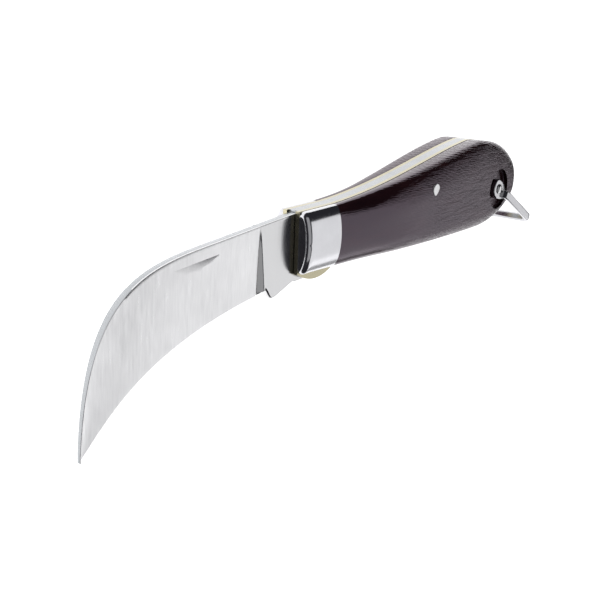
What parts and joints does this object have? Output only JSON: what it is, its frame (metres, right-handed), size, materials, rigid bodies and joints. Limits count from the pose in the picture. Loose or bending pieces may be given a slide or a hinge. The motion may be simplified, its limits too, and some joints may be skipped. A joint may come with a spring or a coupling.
{
  "type": "folding hawkbill knife",
  "caption": "Folding slip-joint knife with a hooked hawkbill blade, lacquered wood scales, bright bolsters, brass liners and a wire bail at the butt.",
  "frame": {"origin": "middle of the bounding box, on the ground the knife lies on", "axes": "+X from the blade towards the butt of the handle, +Y towards the back of the handle and of the blade, +Z out of the mark side, the side with the nail nick"},
  "size_m": [0.1705, 0.0458, 0.0209],
  "materials": {
    "blade_steel": "satin ground carbon steel, spine a little darker",
    "spring_steel": "fine ground steel",
    "liner_brass": "ground brass",
    "bolster_metal": "polished nickel silver",
    "scale_wood": "dark red-brown hardwood under clear gloss lacquer",
    "pin_metal": "ground flush and polished",
    "bail_steel": "bright plated steel strip"
  },
  "bodies": {
    "handle": {"back_spring": "spring_steel", "mark_liner": "liner_brass", "pile_liner": "liner_brass", "mark_bolster": "bolster_metal", "pile_bolster": "bolster_metal", "mark_scale": "scale_wood", "pile_scale": "scale_wood", "pivot_pin": "pin_metal", "centre_pin": "pin_metal", "bolster_rivets": "pin_metal", "bail_pin": "pin_metal"},
    "blade": {"blade": "blade_steel"},
    "bail": {"bail": "bail_steel"}
  },
  "joints": [
    {"name": "blade_fold", "type": "hinge", "parent": "handle", "child": "blade", "pos_m": [-0.01893, 0.0046, 0.01045], "axis": [0, 0, 1], "range_deg": [0, 164]},
    {"name": "bail_swing", "type": "hinge", "parent": "handle", "child": "bail", "pos_m": [0.06127, 0.0088, 0.01045], "axis": [0, 0, 1], "range_deg": [-105, 160]}
  ]
}
